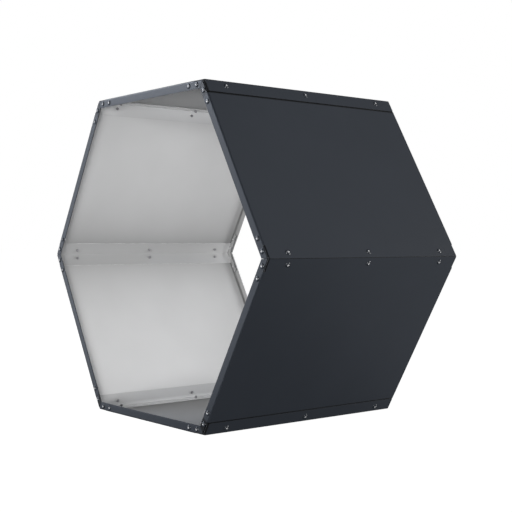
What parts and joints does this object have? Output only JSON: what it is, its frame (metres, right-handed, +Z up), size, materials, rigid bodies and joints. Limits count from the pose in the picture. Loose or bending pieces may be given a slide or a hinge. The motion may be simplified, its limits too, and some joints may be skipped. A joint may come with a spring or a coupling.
{
  "type": "hexagonal barrel shell",
  "caption": "Open hexagonal barrel shell of folded sheet metal panels, riveted over inner joint strips and corner gussets.",
  "frame": {"origin": "on the ground under the middle of the shell, at the flat tips of the bottom panel's rivet heads", "axes": "+X from the left ridge to the right ridge, +Y from the front opening to the back opening along the hexagon's axis, +Z up"},
  "size_m": [0.6996, 0.455, 0.6092],
  "materials": {
    "anthracite_coat": "satin anthracite coat outside, pale grey coat inside",
    "pale_coat": "satin pale grey coat",
    "rivet_metal": "dark burnished steel"
  },
  "bodies": {
    "root": {"top_panel": "anthracite_coat", "upper_right_panel": "anthracite_coat", "lower_right_panel": "anthracite_coat", "bottom_panel": "anthracite_coat", "lower_left_panel": "anthracite_coat", "upper_left_panel": "anthracite_coat", "top_right_joint_strip": "pale_coat", "right_joint_strip": "pale_coat", "bottom_right_joint_strip": "pale_coat", "bottom_left_joint_strip": "pale_coat", "left_joint_strip": "pale_coat", "top_left_joint_strip": "pale_coat", "front_top_right_gusset": "anthracite_coat", "front_right_gusset": "anthracite_coat", "front_bottom_right_gusset": "anthracite_coat", "front_bottom_left_gusset": "anthracite_coat", "front_left_gusset": "anthracite_coat", "front_top_left_gusset": "anthracite_coat", "back_top_right_gusset": "anthracite_coat", "back_right_gusset": "anthracite_coat", "back_bottom_right_gusset": "anthracite_coat", "back_bottom_left_gusset": "anthracite_coat", "back_left_gusset": "anthracite_coat", "back_top_left_gusset": "anthracite_coat", "top_panel_rivets": "rivet_metal", "upper_right_panel_rivets": "rivet_metal", "lower_right_panel_rivets": "rivet_metal", "bottom_panel_rivets": "rivet_metal", "lower_left_panel_rivets": "rivet_metal", "upper_left_panel_rivets": "rivet_metal", "front_top_right_lip_rivets": "rivet_metal", "front_right_lip_rivets": "rivet_metal", "front_bottom_right_lip_rivets": "rivet_metal", "front_bottom_left_lip_rivets": "rivet_metal", "front_left_lip_rivets": "rivet_metal", "front_top_left_lip_rivets": "rivet_metal", "back_top_right_lip_rivets": "rivet_metal", "back_right_lip_rivets": "rivet_metal", "back_bottom_right_lip_rivets": "rivet_metal", "back_bottom_left_lip_rivets": "rivet_metal", "back_left_lip_rivets": "rivet_metal", "back_top_left_lip_rivets": "rivet_metal"}
  },
  "joints": []
}
